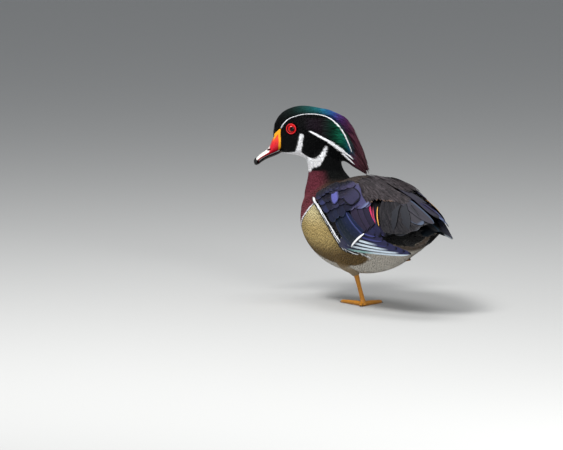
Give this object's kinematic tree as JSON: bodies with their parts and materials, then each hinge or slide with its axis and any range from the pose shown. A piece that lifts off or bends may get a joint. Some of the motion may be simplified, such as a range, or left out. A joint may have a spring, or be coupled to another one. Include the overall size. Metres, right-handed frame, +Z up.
{
  "type": "wood duck drake",
  "caption": "Still, life-size crested duck standing on one webbed foot, head turned to its left, wings folded.",
  "frame": {"origin": "on the floor, under the middle of the whole bird's bounding box", "axes": "+Z up, body heading along -Y with the tail towards +Y, the bird's left side towards +X"},
  "size_m": [0.1428, 0.2842, 0.2137],
  "materials": {
    "head_feathers": "glossy black-green feathers",
    "crest_feathers": "iridescent green to purple feathers",
    "breast_feathers": "chestnut feathers",
    "flank_feathers": "finely barred golden tan feathers",
    "tail_feathers": "black feathers",
    "wing_feathers": "dark blue and violet feathers with a sheen",
    "bill": "smooth horn, red, white, yellow and black",
    "bill_black": "smooth black horn",
    "eyes": "wet red iris and black pupil",
    "leg_skin": "scaly yellow-orange skin"
  },
  "bodies": {
    "root": {"head": "head_feathers", "crest": "crest_feathers", "neck": "breast_feathers", "torso": "flank_feathers", "tail": "tail_feathers", "bill_upper": "bill", "bill_lower": "bill_black", "eye_left": "eyes", "eye_right": "eyes", "wing_left": "wing_feathers", "wing_right": "wing_feathers", "thigh_left": "flank_feathers", "thigh_right": "flank_feathers", "shank_left": "leg_skin", "shank_right": "leg_skin", "foot_left": "leg_skin", "foot_right": "leg_skin"}
  },
  "joints": []
}
